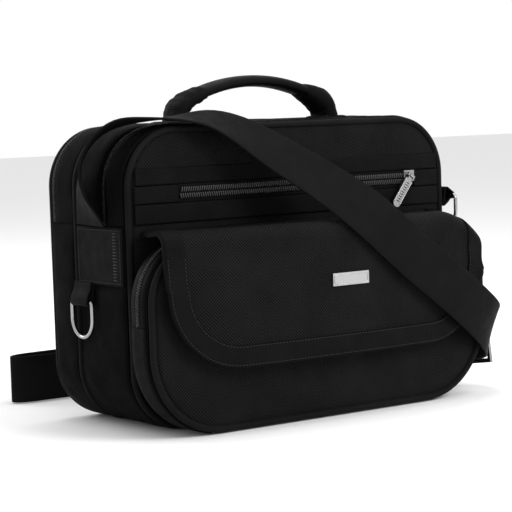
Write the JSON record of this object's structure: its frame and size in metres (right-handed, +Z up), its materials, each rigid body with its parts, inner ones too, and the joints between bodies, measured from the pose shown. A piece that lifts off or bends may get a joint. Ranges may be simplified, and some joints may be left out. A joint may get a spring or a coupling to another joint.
{
  "type": "flight bag",
  "caption": "Soft rectangular shoulder bag with two zipped compartments, a zipped front pocket under a lift-up flap, an arched grab handle, side D-rings and a wide webbing strap.",
  "frame": {"origin": "centre of the base face, on the surface the bag stands on", "axes": "+Z up; -Y is the front, with the flap; +X runs along the width towards the right-hand side of someone who faces the front"},
  "size_m": [0.3848, 0.2943, 0.274],
  "materials": {
    "ballistic_nylon": "woven ballistic nylon, matt with a slight sheen",
    "lining": "plain lining",
    "piping": "woven piping",
    "webbing": "ribbed nylon webbing",
    "zip_tape": "fine woven zip tape",
    "zip_coil": "moulded nylon coil",
    "nickel": "bright nickel plate",
    "badge_metal": "brushed plate",
    "grip_fabric": "padded nylon"
  },
  "bodies": {
    "shell": {"lower_gusset_front": "ballistic_nylon", "lower_gusset_rear": "ballistic_nylon", "upper_gusset_front": "ballistic_nylon", "upper_gusset_rear": "ballistic_nylon", "front_panel_lower": "ballistic_nylon", "back_panel_lower": "ballistic_nylon", "divider_panel": "lining", "mid_piping": "piping", "front_piping_lower": "piping", "rear_piping_lower": "piping", "front_mouth_tape_rear": "zip_tape", "front_mouth_coil_rear": "zip_coil", "rear_mouth_tape_front": "zip_tape", "rear_mouth_coil_front": "zip_coil", "pocket_gusset": "ballistic_nylon", "pocket_front_panel": "ballistic_nylon", "pocket_piping": "piping", "pocket_zip_tape": "zip_tape", "pocket_zip_coil": "zip_coil", "pocket_zip_tab_left": "webbing", "pocket_zip_tab_right": "webbing", "flap_top": "ballistic_nylon", "left_side_patch": "webbing", "right_side_patch": "webbing", "left_ring_loop": "webbing", "right_ring_loop": "webbing", "handle_patches": "webbing", "shoulder_strap": "webbing", "strap_adjuster": "nickel"},
    "front_cover": {"front_panel_upper": "ballistic_nylon", "front_piping_upper": "piping", "front_rim": "ballistic_nylon", "front_mouth_tape_front": "zip_tape", "front_mouth_coil_front": "zip_coil", "front_band_upper": "webbing", "front_band_lower": "webbing", "front_zip_tape": "zip_tape", "front_zip_coil": "zip_coil", "front_zip_end_left": "ballistic_nylon", "front_zip_end_right": "ballistic_nylon"},
    "rear_cover": {"back_panel_upper": "ballistic_nylon", "rear_piping_upper": "piping", "rear_mouth_tape_rear": "zip_tape", "rear_mouth_coil_rear": "zip_coil"},
    "flap": {"flap_panel": "ballistic_nylon", "flap_binding": "webbing", "badge": "badge_metal"},
    "front_zip_slider": {"front_zip_slider": "nickel"},
    "front_zip_pull": {"front_zip_pull": "nickel"},
    "pocket_zip_slider": {"pocket_zip_slider": "nickel"},
    "pocket_zip_pull": {"pocket_zip_pull": "nickel"},
    "front_mouth_slider": {"front_mouth_slider": "nickel"},
    "front_mouth_pull": {"front_mouth_pull": "nickel"},
    "rear_mouth_slider": {"rear_mouth_slider": "nickel"},
    "rear_mouth_pull": {"rear_mouth_pull": "nickel"},
    "handle": {"handle_grip": "grip_fabric", "handle_ends": "webbing"},
    "left_ring": {"left_d_ring": "nickel"},
    "right_ring": {"right_d_ring": "nickel"}
  },
  "joints": [
    {"name": "front_cover_tip", "type": "hinge", "parent": "shell", "child": "front_cover", "pos_m": [0, -0.0596, 0.16], "axis": [1, 0, 0], "range_deg": [0, 25], "deforming": ["shoulder_strap"]},
    {"name": "rear_cover_tip", "type": "hinge", "parent": "shell", "child": "rear_cover", "pos_m": [0, 0.059, 0.16], "axis": [-1, 0, 0], "range_deg": [0, 45]},
    {"name": "flap_lift", "type": "hinge", "parent": "shell", "child": "flap", "pos_m": [0, -0.1026, 0.1566], "axis": [-1, 0, 0], "range_deg": [0, 90], "deforming": ["shoulder_strap"]},
    {"name": "front_zip_slide", "type": "slide", "parent": "front_cover", "child": "front_zip_slider", "axis": [-1, 0, 0], "range_m": [0, 0.222]},
    {"name": "front_zip_pull_swing", "type": "hinge", "parent": "front_zip_slider", "child": "front_zip_pull", "pos_m": [0.119, -0.0647, 0.186], "axis": [-0.7912, 0, 0.6115], "range_deg": [0, 100]},
    {"name": "pocket_zip_slide", "type": "slide", "parent": "shell", "child": "pocket_zip_slider", "axis": [0, 0, 1], "range_m": [0, 0.018]},
    {"name": "pocket_zip_pull_swing", "type": "hinge", "parent": "pocket_zip_slider", "child": "pocket_zip_pull", "pos_m": [0.174, -0.083, 0.092], "axis": [0, -1, 0], "range_deg": [0, 100]},
    {"name": "front_mouth_slide", "type": "slide", "parent": "shell", "child": "front_mouth_slider", "axis": [0, 0, 1], "range_m": [0, 0.018]},
    {"name": "front_mouth_pull_swing", "type": "hinge", "parent": "front_mouth_slider", "child": "front_mouth_pull", "pos_m": [0.1658, -0.026, 0.17], "axis": [0, -1, 0], "range_deg": [0, 100]},
    {"name": "rear_mouth_slide", "type": "slide", "parent": "shell", "child": "rear_mouth_slider", "axis": [0, 0, 1], "range_m": [0, 0.018]},
    {"name": "rear_mouth_pull_swing", "type": "hinge", "parent": "rear_mouth_slider", "child": "rear_mouth_pull", "pos_m": [0.1658, 0.0495, 0.17], "axis": [0, -1, 0], "range_deg": [0, 100]},
    {"name": "handle_fold", "type": "hinge", "parent": "shell", "child": "handle", "pos_m": [0, -0.003, 0.2412], "axis": [1, 0, 0], "range_deg": [-45, 45]},
    {"name": "left_ring_swing", "type": "hinge", "parent": "shell", "child": "left_ring", "pos_m": [-0.1648, 0.004, 0.1], "axis": [0, 1, 0], "range_deg": [0, 120]},
    {"name": "right_ring_swing", "type": "hinge", "parent": "shell", "child": "right_ring", "pos_m": [0.171, -0.047, 0.167], "axis": [0, -1, 0], "range_deg": [0, 90]}
  ]
}
